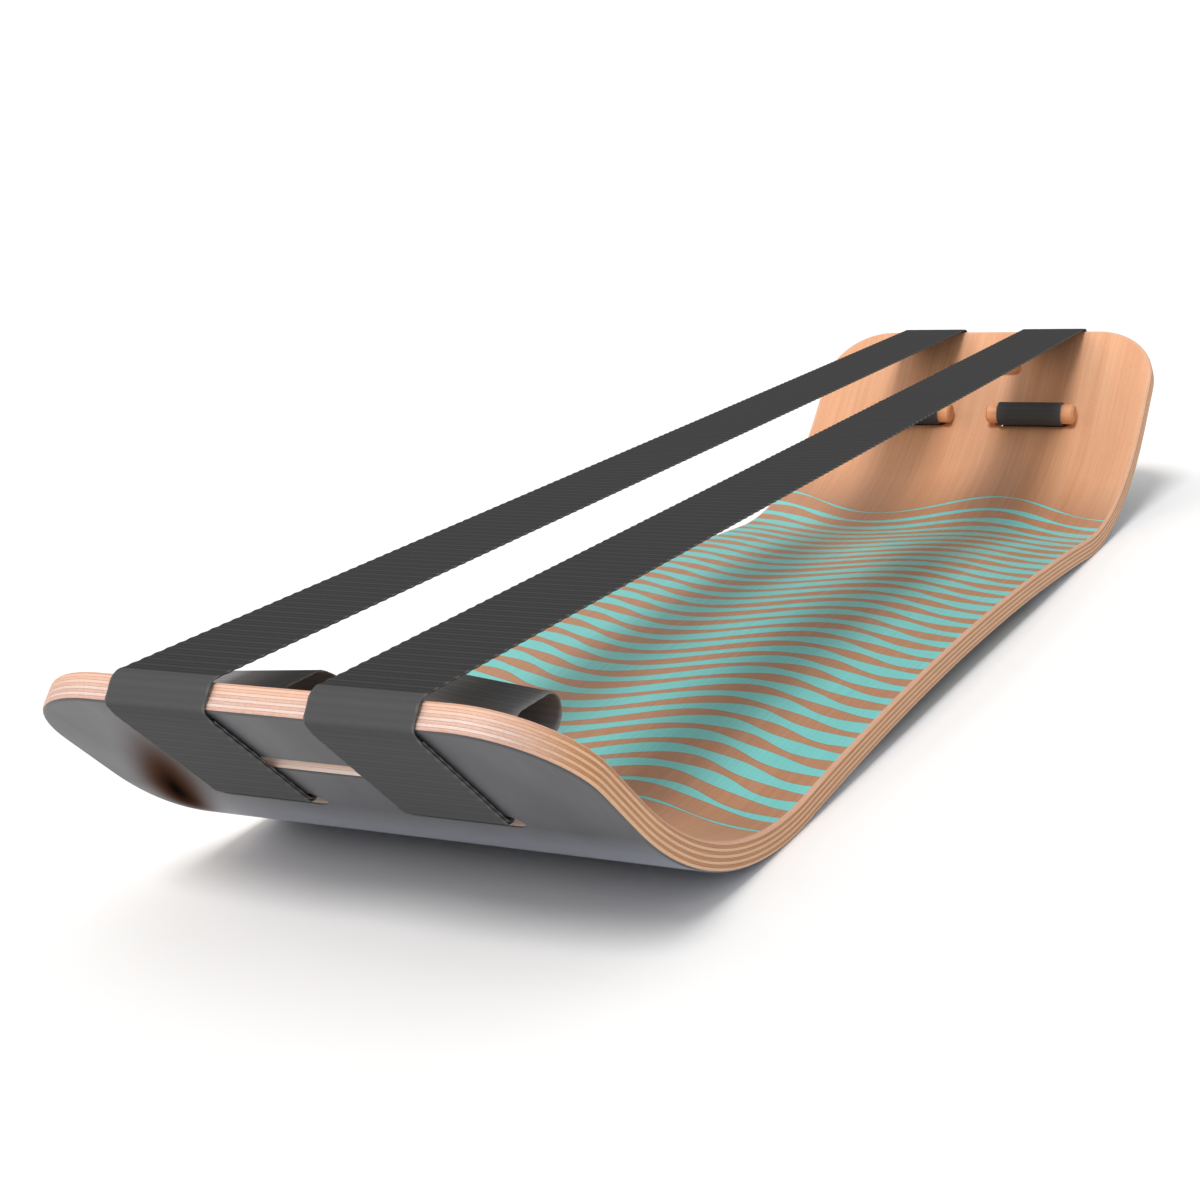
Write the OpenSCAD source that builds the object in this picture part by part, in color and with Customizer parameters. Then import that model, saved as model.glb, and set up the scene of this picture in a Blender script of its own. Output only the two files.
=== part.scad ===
/* [Board] */
// Distance between the two end edges, measured on the inner face
end_span = 992; // [900:1:1100]
// Width of the board
board_width = 264; // [240:1:320]
// Slope of the two upturned ends, in degrees
kick_angle = 42.5; // [38:0.5:46]
// Flat stretch of each upturned end, from its edge to the bend
kick_length = 84; // [74:1:100]
// Radius of the two bends, on the inner face
bend_radius = 220; // [180:1:240]
// Slope at which the arched middle leaves each bend, in degrees
arch_angle = 4.6; // [3:0.1:6]
// Radius of the four corners
corner_radius = 48; // [30:1:60]

/* [Plywood] */
// Thickness of one beech veneer
veneer_thickness = 1.3; // [1:0.05:1.5]
// Glue line between two veneers
glue_line = 0.1; // [0.05:0.01:0.15]
// Thickness of the film under the board
film_thickness = 0.6; // [0.4:0.05:1]

/* [Slots] */
// Length of each strap slot
slot_length = 60; // [56:1:66]
// Width of each strap slot
slot_width = 12; // [10:0.5:14]
// Distance from the end edge to the middle of the two side slots
side_slot_reach = 89; // [86:1:94]
// Distance from the end edge to the middle of the centre slot, on the underside
centre_slot_reach = 51; // [45:1:56]

/* [Straps] */
// Width of the webbing
strap_width = 50; // [40:1:52]
// Thickness of the webbing
strap_thickness = 1.2; // [1:0.1:2]
// Distance between the middles of the two straps
strap_spacing = 97; // [90:1:120]
// Room between the webbing and the wood
strap_seat = 0.3; // [0.2:0.05:0.6]
// Inner radius of the webbing where it folds over the end edge
fold_radius = 1.5; // [0.5:0.1:2.5]
// Inner radius of the webbing where it turns into a slot
slot_turn_radius = 3; // [1:0.1:4]
// Distance from the end edge to the sewn-down tail of the webbing
tail_reach = 8; // [6:1:30]

/* [Spare loops] */
// Length of the spare loop
spare_loop_length = 44; // [38:1:52]
// Height of the spare loop
spare_loop_height = 23; // [19:0.5:26]
// Distance of the spare loop's middle from the dowel's, towards the board's middle
spare_loop_shift = 12; // [8:0.5:14]

/* [Dowels] */
// Diameter of the holding dowels
dowel_diameter = 15; // [14:0.5:18]
// Length of the holding dowels
dowel_length = 68; // [64:1:84]
// Chamfer at both ends of a dowel
dowel_chamfer = 1.5; // [0.5:0.1:3]
// Room between a dowel and its webbing eye
dowel_clearance = 0.3; // [0.2:0.05:0.5]

/* [Hidden] */
$fn = 96;
veneer_count = 9;

// The board's build-up, as depths below the inner face
veneer_pitch = veneer_thickness + glue_line;
film_top = veneer_count * veneer_pitch;
board_thickness = film_top + film_thickness;

// The profile's construction points, with the front end at the left
bend_x = -end_span / 2 + kick_length * cos(kick_angle) + bend_radius * sin(kick_angle);
bend_z = board_thickness + bend_radius;
edge_z = bend_z + kick_length * sin(kick_angle) - bend_radius * cos(kick_angle);
arch_start_x = bend_x + bend_radius * sin(arch_angle);
arch_start_z = bend_z - bend_radius * cos(arch_angle);
arch_radius = -arch_start_x / sin(arch_angle);
arch_z = arch_start_z - arch_radius * cos(arch_angle);
// Flat strips of the bend, of its rise past the lowest line, and of half the arch
bend_steps = 18;
rise_steps = 2;
arch_steps = 12;
// Room that a cutter keeps past the wood on both faces
cut_over = 5;

// The webbing's eye around a dowel
eye_inner = dowel_diameter / 2 + dowel_clearance;
eye_middle = eye_inner + strap_thickness / 2;
eye_outer = eye_inner + strap_thickness;
// How far the bend has lifted the inner face at the slot's lower edge
slot_past_bend = max(0, side_slot_reach + slot_width / 2 - kick_length);
slot_lift = pow(slot_past_bend, 2) / (2 * bend_radius);
// The eye beds on its slot's two long edges, but the dowel's ends also lie clear of the face past the slot
eye_bed = sqrt(pow(eye_outer + strap_seat, 2) - pow(slot_width / 2, 2));
eye_height = slot_lift + max(eye_bed, eye_inner);

// Heights of the webbing's three faces under the board: next to the wood, between its two layers, outside
under_inner = -board_thickness - strap_seat;
under_middle = under_inner - strap_thickness;
under_outer = under_middle - strap_thickness;
// Height of the webbing's fold over the end edge, for a face that lies this far off the wood
function fold_height(off) = off * (1 - sin(kick_angle)) / cos(kick_angle);

// The spare loop lies level on the eye, and its lower wall is sewn to the eye's upper wall
spare_steps = 24;
spare_sink_share = 0.8;
spare_sink = spare_sink_share * strap_thickness;
spare_straight = spare_loop_length - spare_loop_height;
spare_middle = end_point(side_slot_reach, eye_height)
    + [spare_loop_shift, eye_outer - spare_sink + spare_loop_height / 2];

// Colours
beech = "#dfa27a";
beech_cross_grain = "#c98a63";
film_grey = "#666a73";
webbing_grey = "#3d3f41";
dowel_beech = "#c98552";

// A point of the front end, from its distance down the slope and its height above the inner face
function end_point(d, h) = [
    -end_span / 2 + d * cos(kick_angle) + h * sin(kick_angle),
    edge_z - d * sin(kick_angle) + h * cos(kick_angle)
];

// A point on a circle, at an angle counted from straight down
function ring_point(centre, radius, angle) = centre + radius * [sin(angle), -cos(angle)];

function mirrored(points) = [for (i = [len(points) - 1 : -1 : 0]) [-points[i].x, points[i].y]];
function reversed(points) = [for (i = [len(points) - 1 : -1 : 0]) points[i]];

// The front half of the board's line at a depth below the inner face: flat end, bend, arch
function front_line(depth) = concat(
    [end_point(0, -depth)],
    [for (i = [-bend_steps : -1])
        ring_point([bend_x, bend_z], bend_radius + depth, i * kick_angle / bend_steps)
    ],
    [for (i = [0 : rise_steps])
        ring_point([bend_x, bend_z], bend_radius + depth, i * arch_angle / rise_steps)
    ],
    [for (i = [1 : arch_steps - 1])
        ring_point(
            [0, arch_z], arch_radius - depth,
            180 + arch_angle - i * arch_angle / arch_steps
        )
    ]
);
function board_line(depth) = concat(
    front_line(depth),
    [[0, arch_z + arch_radius - depth]],
    mirrored(front_line(depth))
);

// An outline with rounded corners, from points that each hold a place and a radius
function unit(v) = v / norm(v);
function corner_points(before, corner, after, radius, steps) =
    let (
        a = unit(before - corner),
        b = unit(after - corner),
        half = acos(max(-1, min(1, a * b))) / 2,
        centre = corner + unit(a + b) * radius / sin(half),
        start = corner + a * radius / tan(half) - centre,
        side = sign(start.y * a.x - start.x * a.y),
        sweep = side * (180 - 2 * half)
    )
    [for (i = [0 : steps])
        let (turn = sweep * i / steps)
        centre + [
            start.x * cos(turn) - start.y * sin(turn),
            start.x * sin(turn) + start.y * cos(turn)
        ]
    ];
corner_steps = 6;
function rounded(points, radii) = [
    for (i = [0 : len(points) - 1])
        let (n = len(points))
        each (radii[i] == 0
            ? [points[i]]
            : corner_points(
                points[(i + n - 1) % n], points[i], points[(i + 1) % n], radii[i], corner_steps
            ))
];

// Draws a profile, given in the board's length and height, as a band across its width
module across(width) {
    rotate([90, 0, 0])
        linear_extrude(height = width, center = true)
            children();
}

// Places a shape on the inner face of the upturned ends, with +X down the slope and +Z off the face
module on_both_ends() {
    for (side = [0, 1])
        mirror([side, 0, 0])
            translate([-end_span / 2, 0, edge_z])
                rotate([0, kick_angle, 0])
                    children();
}

// What is cut from an end's corner to leave it round
module corner_waste() {
    translate([0, 0, -board_thickness - cut_over])
        linear_extrude(height = board_thickness + 2 * cut_over)
            difference() {
                translate([-cut_over, board_width / 2 - corner_radius])
                    square(corner_radius + cut_over);
                translate([corner_radius, board_width / 2 - corner_radius])
                    circle(r = corner_radius);
            }
}

// A slot with round ends, from a low to a high level
module slot_waste(width, low, high) {
    round_offset = (slot_length - width) / 2;
    translate([0, 0, low]) {
        translate([-width / 2, -round_offset, 0])
            cube([width, 2 * round_offset, high - low]);
        for (end = [-1, 1])
            translate([0, end * round_offset, 0])
                cylinder(d = width, h = high - low);
    }
}

// The two side slots of both ends, cut square to the face
module side_slot_waste() {
    on_both_ends()
        for (side = [-1, 1])
            translate([side_slot_reach, side * strap_spacing / 2, 0])
                slot_waste(slot_width, -board_thickness - cut_over, cut_over);
}

// The centre slot of both ends, cut straight down through the slope
module centre_slot_waste() {
    for (side = [0, 1])
        mirror([side, 0, 0])
            translate([end_point(centre_slot_reach, -board_thickness).x, 0, 0])
                slot_waste(slot_width * cos(kick_angle), 0, edge_z + cut_over);
}

// One layer of the board between two depths below the inner face
module layer(top, bottom) {
    difference() {
        across(board_width)
            polygon(concat(board_line(top), reversed(board_line(bottom))));
        on_both_ends() {
            corner_waste();
            mirror([0, 1, 0]) corner_waste();
        }
        side_slot_waste();
        centre_slot_waste();
    }
}

// A beech veneer, counted from the inner face; every second one has its grain across the board
module veneer(number) {
    top = (number - 1) * veneer_pitch;
    color(number % 2 == 1 ? beech : beech_cross_grain)
        layer(top, top + veneer_thickness);
}

module underside_film() {
    color(film_grey) layer(film_top, board_thickness);
}

// The webbing's outside line at the front end, from the eye's neck over the end edge
function webbing_outside() = [
    end_point(side_slot_reach + strap_thickness, eye_height - eye_middle),
    end_point(side_slot_reach + strap_thickness, under_outer),
    end_point(tail_reach, under_outer),
    end_point(-strap_seat - strap_thickness, under_middle),
    end_point(-strap_seat - strap_thickness, fold_height(strap_seat + strap_thickness))
];
webbing_outside_radii = [
    0, slot_turn_radius + 2 * strap_thickness, 0,
    fold_radius + strap_thickness, fold_radius + strap_thickness
];

// The webbing's inside line at the front end, with the step where the sewn-down tail ends
function webbing_inside() = [
    end_point(-strap_seat, fold_height(strap_seat)),
    end_point(-strap_seat, under_inner),
    end_point(tail_reach, under_middle),
    end_point(tail_reach, under_inner),
    end_point(side_slot_reach - strap_thickness, under_inner),
    end_point(side_slot_reach - strap_thickness, eye_height - eye_middle)
];
webbing_inside_radii = [fold_radius, fold_radius, 0, 0, slot_turn_radius, 0];

function webbing_outline() = rounded(
    concat(
        webbing_outside(), mirrored(webbing_outside()),
        mirrored(webbing_inside()), webbing_inside()
    ),
    concat(
        webbing_outside_radii, reversed(webbing_outside_radii),
        reversed(webbing_inside_radii), webbing_inside_radii
    )
);

// The spare loop's outline with round ends, grown by a distance from the loop's opening
function spare_outline(grow) = [
    for (end = [1, -1], i = [0 : spare_steps])
        let (
            radius = spare_loop_height / 2 - strap_thickness + grow,
            angle = 180 * i / spare_steps - 90
        )
        spare_middle + end * [spare_straight / 2 + radius * cos(angle), radius * sin(angle)]
];

// A round along the board's width, where a dowel lies
module eye_round(radius, width) {
    on_both_ends()
        translate([side_slot_reach, 0, eye_height])
            rotate([90, 0, 0])
                cylinder(r = radius, h = width, center = true);
}

module strap() {
    color(webbing_grey)
        difference() {
            union() {
                across(strap_width) polygon(webbing_outline());
                across(strap_width)
                    difference() {
                        polygon(spare_outline(strap_thickness));
                        polygon(spare_outline(0));
                    }
                eye_round(eye_outer, strap_width);
            }
            eye_round(eye_inner, strap_width + 2 * cut_over);
        }
}

module strap_left() {
    translate([0, strap_spacing / 2, 0]) strap();
}

module strap_right() {
    translate([0, -strap_spacing / 2, 0]) strap();
}

// A dowel along the board's width, with chamfered ends
module dowel() {
    straight = dowel_length - 2 * dowel_chamfer;
    color(dowel_beech)
        rotate([90, 0, 0])
            rotate_extrude()
                polygon([
                    [0, -dowel_length / 2],
                    [dowel_diameter / 2 - dowel_chamfer, -dowel_length / 2],
                    [dowel_diameter / 2, -straight / 2],
                    [dowel_diameter / 2, straight / 2],
                    [dowel_diameter / 2 - dowel_chamfer, dowel_length / 2],
                    [0, dowel_length / 2]
                ]);
}

module front_dowel(side) {
    middle = end_point(side_slot_reach, eye_height);
    translate([middle.x, side * strap_spacing / 2, middle.y]) dowel();
}

module back_dowel(side) {
    mirror([1, 0, 0]) front_dowel(side);
}

veneer(1);  // face_veneer
veneer(2);  // veneer_2
veneer(3);  // veneer_3
veneer(4);  // veneer_4
veneer(5);  // veneer_5
veneer(6);  // veneer_6
veneer(7);  // veneer_7
veneer(8);  // veneer_8
veneer(9);  // back_veneer
underside_film();
strap_left();
strap_right();
front_dowel(1);  // front_left_dowel
front_dowel(-1);  // front_right_dowel
back_dowel(1);  // back_left_dowel
back_dowel(-1);  // back_right_dowel
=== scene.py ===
"""The looks of a bent plywood balance board strung with two webbing straps."""

import math

import bpy
from mathutils import Matrix, Vector
from mathutils.geometry import delaunay_2d_cdt


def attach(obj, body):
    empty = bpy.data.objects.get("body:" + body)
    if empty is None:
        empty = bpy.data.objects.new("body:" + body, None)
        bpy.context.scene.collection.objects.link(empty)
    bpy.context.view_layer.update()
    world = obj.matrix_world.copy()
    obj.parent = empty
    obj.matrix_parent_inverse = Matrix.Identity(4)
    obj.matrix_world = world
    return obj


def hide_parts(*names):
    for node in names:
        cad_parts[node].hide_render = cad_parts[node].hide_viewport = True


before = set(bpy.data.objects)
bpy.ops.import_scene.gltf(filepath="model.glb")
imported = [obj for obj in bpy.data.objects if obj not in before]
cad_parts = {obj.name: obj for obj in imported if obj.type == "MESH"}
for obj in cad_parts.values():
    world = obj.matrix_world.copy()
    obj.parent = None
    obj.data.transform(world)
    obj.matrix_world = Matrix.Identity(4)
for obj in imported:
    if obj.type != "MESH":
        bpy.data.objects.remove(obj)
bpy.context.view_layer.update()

MM = 0.001
GRAIN_MAP = "grain"

# The board's profile and build-up, as the solids have them
END_SPAN = 992 * MM
BOARD_WIDTH = 264 * MM
KICK_ANGLE = math.radians(42.5)
KICK_LENGTH = 84 * MM
BEND_RADIUS = 220 * MM
ARCH_ANGLE = math.radians(4.6)
CORNER_RADIUS = 48 * MM
VENEER_COUNT = 9
VENEER_THICKNESS = 1.3 * MM
VENEER_PITCH = 1.4 * MM
FILM_THICKNESS = 0.6 * MM
FILM_TOP = VENEER_COUNT * VENEER_PITCH
BOARD_THICKNESS = FILM_TOP + FILM_THICKNESS

# The strap slots
SLOT_LENGTH = 60 * MM
SLOT_WIDTH = 12 * MM
SIDE_SLOT_REACH = 89 * MM
CENTRE_SLOT_REACH = 51 * MM

# The straps and the dowels that hold them
STRAP_WIDTH = 50 * MM
STRAP_THICKNESS = 1.2 * MM
STRAP_SIDE = 48.5 * MM
STRAP_SEAT = 0.3 * MM
LOW_FOLD_RADIUS = 2.5 * MM
TOP_FOLD_RADIUS = 7 * MM
FOLD_BULGE = 1.8 * MM
SLOT_TURN_RADIUS = 3 * MM
TAIL_REACH = 8 * MM
DOWEL_RADIUS = 7.5 * MM
DOWEL_CLEARANCE = 0.3 * MM
SPARE_LOOP_LENGTH = 44 * MM
SPARE_LOOP_HEIGHT = 23 * MM
SPARE_LOOP_SHIFT = 12 * MM
SPARE_LOOP_SINK = 0.8 * STRAP_THICKNESS

# The profile's construction points
BEND_X = -END_SPAN / 2 + KICK_LENGTH * math.cos(KICK_ANGLE) + BEND_RADIUS * math.sin(KICK_ANGLE)
BEND_Z = BOARD_THICKNESS + BEND_RADIUS
EDGE_Z = BEND_Z + KICK_LENGTH * math.sin(KICK_ANGLE) - BEND_RADIUS * math.cos(KICK_ANGLE)
ARCH_RADIUS = -(BEND_X + BEND_RADIUS * math.sin(ARCH_ANGLE)) / math.sin(ARCH_ANGLE)
ARCH_Z = BEND_Z - (BEND_RADIUS + ARCH_RADIUS) * math.cos(ARCH_ANGLE)
BEND_REACH = KICK_LENGTH + BEND_RADIUS * (KICK_ANGLE + ARCH_ANGLE)
HALF_REACH = BEND_REACH + ARCH_RADIUS * ARCH_ANGLE
FULL_REACH = 2 * HALF_REACH


# Materials

def colour(hex_value):
    """A linear colour from an sRGB hex value."""
    channels = [int(hex_value[i:i + 2], 16) / 255 for i in (1, 3, 5)]
    linear = [c / 12.92 if c <= 0.04045 else ((c + 0.055) / 1.055) ** 2.4 for c in channels]
    return (*linear, 1.0)


def add(tree, kind, inputs=None, out=0, **settings):
    """Adds a node with its settings and gives one of its outputs. Sockets among its inputs are linked, and
    other values set."""
    made = tree.nodes.new("ShaderNode" + kind)
    for key, value in settings.items():
        setattr(made, key, value)
    for key, value in (inputs or {}).items():
        if isinstance(value, bpy.types.NodeSocket):
            tree.links.new(value, made.inputs[key])
        else:
            made.inputs[key].default_value = value
    return made.outputs[out]


def blank(name):
    """A new material, its node tree and its shader."""
    made = bpy.data.materials.new(name)
    made.use_nodes = True
    tree = made.node_tree
    return made, tree, tree.nodes["Principled BSDF"]


# The sockets of a Mix node that mixes colours: its factor, its two colours, and the output
FACTOR, UNDER, OVER = 0, 6, 7
MIXED = 2


def streaks(tree, place, along, across, detail=2.0):
    """Noise drawn out along the first coordinate, with these sizes in metres."""
    scale = (1 / along, 1 / across, 1 / across)
    sized = add(tree, "VectorMath", {0: place, 1: scale}, operation="MULTIPLY")
    return add(tree, "TexNoise", {"Vector": sized, "Scale": 1.0, "Detail": detail})


def finish_surface(tree, shader, base, roughness, height, depth):
    """Links a surface's colour, roughness and relief, whose depth is in metres."""
    normal = add(tree, "Bump", {"Height": height, "Distance": depth, "Strength": 1.0})
    for socket, value in (("Base Color", base), ("Roughness", roughness), ("Normal", normal)):
        tree.links.new(value, shader.inputs[socket])


def beech(tree, place, pale, deep):
    """Beech cut along the grain: soft bands, straight fine streaks, fibres and small ray flecks. Gives its
    colour and relief."""
    bands = streaks(tree, place, 420 * MM, 11 * MM)
    lines = streaks(tree, place, 190 * MM, 2.4 * MM)
    # Real fibres are near 0.2 mm, drawn at 0.9 mm so that they show
    fibres = streaks(tree, place, 48 * MM, 0.9 * MM)
    specks = streaks(tree, place, 4 * MM, 0.9 * MM, 1.0)
    band = add(tree, "MapRange", {"Value": bands, "From Min": 0.3, "From Max": 0.7, "To Max": 0.4})
    wood = add(tree, "Mix", {FACTOR: band, UNDER: colour(pale), OVER: colour(deep)}, MIXED, data_type="RGBA")
    line = add(tree, "MapRange", {"Value": lines, "From Min": 0.4, "From Max": 0.75, "To Max": 0.5})
    wood = add(tree, "Mix", {FACTOR: line, UNDER: wood, OVER: colour(deep)}, MIXED, data_type="RGBA")
    fibre = add(tree, "MapRange", {"Value": fibres, "From Min": 0.35, "From Max": 0.75, "To Max": 0.4})
    wood = add(tree, "Mix", {FACTOR: fibre, UNDER: wood, OVER: colour(deep)}, MIXED, data_type="RGBA")
    fleck = add(tree, "MapRange", {"Value": specks, "From Min": 0.6, "From Max": 0.75, "To Max": 0.22})
    wood = add(tree, "Mix", {FACTOR: fleck, UNDER: wood, OVER: colour("#a3653f")}, MIXED, data_type="RGBA")
    return wood, add(tree, "Math", {0: fibres, 1: fleck}, operation="SUBTRACT")


# The print: its ends along the board, its waved stripes, which swell and thin, and the edge of its ink
PRINT_START = 206 * MM
PRINT_END = 895 * MM
PRINT_FADE = 70 * MM
STAIN_FADE = 30 * MM
STRIPE_PITCH = 20 * MM
STRIPE_WAVE = 17 * MM
STRIPE_WAVELENGTH = 176 * MM
STRIPE_SHARE = 0.29
SWELL_LENGTH = 118 * MM
SWELL_SHARE = 0.07
SWELL_SLANT = 1.6
NO_STRIPE = -0.05
INK_START = 0.1 * MM
INK_FULL = 0.5 * MM
INK_RIM = 0.4 * MM


def printed_beech():
    """Sliced beech under satin lacquer, stained and screen printed in aqua: fine warm grain with crisp flat
    ink."""
    made, tree, shader = blank("satin_beech_with_aqua_print")
    place = add(tree, "UVMap", uv_map=GRAIN_MAP)
    wood, relief = beech(tree, place, "#dca781", "#c6885f")
    reach, side = add(tree, "SeparateXYZ", {0: place}).node.outputs[:2]
    # Stripes in waves across the board, which swell and thin along their way
    angle = add(tree, "Math", {0: side, 1: 2 * math.pi / STRIPE_WAVELENGTH}, operation="MULTIPLY")
    wave = add(tree, "Math", {0: angle}, operation="SINE")
    way = add(tree, "Math", {0: wave, 1: STRIPE_WAVE, 2: reach}, operation="MULTIPLY_ADD")
    turn = add(tree, "Math", {0: way, 1: STRIPE_PITCH}, operation="DIVIDE")
    within = add(tree, "Math", {0: turn}, operation="FRACT")
    centred = add(tree, "Math", {0: within, 1: 0.5}, operation="SUBTRACT")
    off = add(tree, "Math", {0: centred}, operation="ABSOLUTE")
    slant = add(tree, "Math", {0: side, 1: SWELL_SLANT, 2: reach}, operation="MULTIPLY_ADD")
    swell_angle = add(tree, "Math", {0: slant, 1: 2 * math.pi / SWELL_LENGTH}, operation="MULTIPLY")
    swell = add(tree, "Math", {0: swell_angle}, operation="SINE")
    share = add(tree, "Math", {0: swell, 1: SWELL_SHARE, 2: STRIPE_SHARE}, operation="MULTIPLY_ADD")
    rise = add(
        tree, "MapRange", {"Value": way, "From Min": PRINT_START, "From Max": PRINT_START + PRINT_FADE}
    )
    fall = add(tree, "MapRange", {"Value": way, "From Min": PRINT_END, "From Max": PRINT_END - PRINT_FADE})
    fade = add(tree, "Math", {0: rise, 1: fall}, operation="MINIMUM")
    half = add(tree, "MapRange", {"Value": fade, "To Min": NO_STRIPE, "To Max": share})
    inside = add(tree, "Math", {0: half, 1: off}, operation="SUBTRACT")
    depth = add(tree, "Math", {0: inside, 1: STRIPE_PITCH}, operation="MULTIPLY")
    ink = add(tree, "MapRange", {"Value": depth, "From Min": INK_START, "From Max": INK_FULL})
    # The wood between the stripes is stained a shade deeper, and the ink has a thin dark rim
    stain_rise = {"Value": way, "From Min": PRINT_START - STAIN_FADE, "From Max": PRINT_START + STAIN_FADE}
    stained_in = add(tree, "MapRange", stain_rise)
    stain_fall = {"Value": way, "From Min": PRINT_END + STAIN_FADE, "From Max": PRINT_END - STAIN_FADE}
    stained_out = add(tree, "MapRange", stain_fall)
    stain = add(tree, "Math", {0: stained_in, 1: stained_out}, operation="MULTIPLY")
    stained = {FACTOR: stain, UNDER: wood, OVER: colour("#dbd7d4")}
    deeper = add(tree, "Mix", stained, MIXED, data_type="RGBA", blend_type="MULTIPLY")
    edge = add(tree, "MapRange", {"Value": depth, "From Min": -INK_RIM, "From Max": 0.0, "To Max": 0.4})
    outlined = add(
        tree, "Mix", {FACTOR: edge, UNDER: deeper, OVER: colour("#5d4234")}, MIXED, data_type="RGBA"
    )
    shade = add(tree, "MapRange", {"Value": relief, "From Min": 0.2, "From Max": 0.8})
    aqua_tones = {FACTOR: shade, UNDER: colour("#80d0cb"), OVER: colour("#6dbfbb")}
    aqua = add(tree, "Mix", aqua_tones, MIXED, data_type="RGBA")
    base = add(tree, "Mix", {FACTOR: ink, UNDER: outlined, OVER: aqua}, MIXED, data_type="RGBA")
    rough = add(tree, "MapRange", {"Value": relief, "To Min": 0.36, "To Max": 0.5})
    finish_surface(tree, shader, base, rough, relief, 0.03 * MM)
    shader.inputs["Coat Weight"].default_value = 0.12
    shader.inputs["Coat Roughness"].default_value = 0.3
    return made


# How deep below the inner face the end edges turn warmer, and where fully
WARM_DEPTH = 8 * MM
WARM_FULL = 2 * MM


def ply_edge(name, side_pale, side_deep, end_pale, end_deep):
    """The sanded, oiled edge of one veneer: long fibres where it is cut along the grain, dark pores where
    across. The first two colours are those of the board's sides, the others those of its ends."""
    made, tree, shader = blank(name)
    place = add(tree, "UVMap", uv_map=GRAIN_MAP)
    lines = streaks(tree, place, 30 * MM, 0.35 * MM)
    # Pores are near 0.1 mm, drawn at 0.7 mm so that they show
    pores = streaks(tree, place, 1.6 * MM, 0.7 * MM)
    blotches = streaks(tree, place, 22 * MM, 3 * MM)
    summed = add(tree, "Math", {0: lines, 1: pores}, operation="ADD")
    grain = add(tree, "Math", {0: summed, 1: 0.5}, operation="MULTIPLY")
    shade = add(tree, "MapRange", {"Value": grain, "From Min": 0.35, "From Max": 0.65})
    side_tones = {FACTOR: shade, UNDER: colour(side_pale), OVER: colour(side_deep)}
    side = add(tree, "Mix", side_tones, MIXED, data_type="RGBA")
    end_tones = {FACTOR: shade, UNDER: colour(end_pale), OVER: colour(end_deep)}
    end = add(tree, "Mix", end_tones, MIXED, data_type="RGBA")
    facing = add(tree, "SeparateXYZ", {0: add(tree, "NewGeometry", out="Normal")}, "Y")
    across = add(tree, "Math", {0: facing}, operation="ABSOLUTE")
    turned = add(tree, "MapRange", {"Value": across, "From Min": 0.5, "From Max": 0.98})
    # The end edges are warmer towards the inner face
    depth = add(tree, "SeparateXYZ", {0: place}, "Y")
    warmth = add(
        tree, "MapRange", {"Value": depth, "From Min": WARM_DEPTH, "From Max": WARM_FULL, "To Max": 0.6}
    )
    end = add(tree, "Mix", {FACTOR: warmth, UNDER: end, OVER: colour("#dca988")}, MIXED, data_type="RGBA")
    base = add(tree, "Mix", {FACTOR: turned, UNDER: end, OVER: side}, MIXED, data_type="RGBA")
    blotch = add(tree, "MapRange", {"Value": blotches, "From Min": 0.45, "From Max": 0.8, "To Max": 0.15})
    base = add(tree, "Mix", {FACTOR: blotch, UNDER: base, OVER: colour("#d08a5a")}, MIXED, data_type="RGBA")
    rough = add(tree, "MapRange", {"Value": grain, "To Min": 0.42, "To Max": 0.6})
    finish_surface(tree, shader, base, rough, grain, 0.05 * MM)
    return made


# How deep below the inner face the slot walls are painted brown, as painted shade
WALL_SHADE_DEPTH = 6 * MM


def slot_wall():
    """The sawn wall of a slot: lines along its veneers, painted brown inside as painted shade and painted
    pale towards the underside as painted light."""
    made, tree, shader = blank("beech_slot_wall")
    place = add(tree, "UVMap", uv_map=GRAIN_MAP)
    lines = streaks(tree, place, 40 * MM, 0.9 * MM)
    depth = add(tree, "SeparateXYZ", {0: place}, "Y")
    # Painted shade and light: brown deep in the slot, pale towards the underside
    pale = add(tree, "MapRange", {"Value": depth, "From Min": WALL_SHADE_DEPTH, "From Max": BOARD_THICKNESS})
    shade_and_light_wall_tones = {FACTOR: pale, UNDER: colour("#b2703f"), OVER: colour("#fff2ea")}
    base = add(tree, "Mix", shade_and_light_wall_tones, MIXED, data_type="RGBA")
    line = add(tree, "MapRange", {"Value": lines, "From Min": 0.4, "From Max": 0.7, "To Max": 0.35})
    base = add(tree, "Mix", {FACTOR: line, UNDER: base, OVER: colour("#d39468")}, MIXED, data_type="RGBA")
    rough = add(tree, "MapRange", {"Value": lines, "To Min": 0.5, "To Max": 0.65})
    finish_surface(tree, shader, base, rough, lines, 0.05 * MM)
    return made


# The band under each bend that is painted paler as painted light, by its way from the end, and the painted
# dark reflection
LIT_BAND_MIDDLE = 247 * MM
LIT_BAND_FULL = 95 * MM
LIT_BAND_END = 155 * MM
REFLECTION_MIDDLE = 98 * MM, 105 * MM, 0.0
REFLECTION_SIZE = 92 * MM, 21 * MM, 1.0
REFLECTION_TURN = math.radians(-24)
# How far out the painted reflection fades in and is full, and its black middle ends, as shares of its size
REFLECTION_EDGE = 1.15
REFLECTION_FULL = 0.2
BLACK_EDGE = 0.5
# The film's sheen, and how fast the painted dark reflection takes it off
FILM_SHEEN = 0.5
SHEEN_FALL = 3.0


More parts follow.
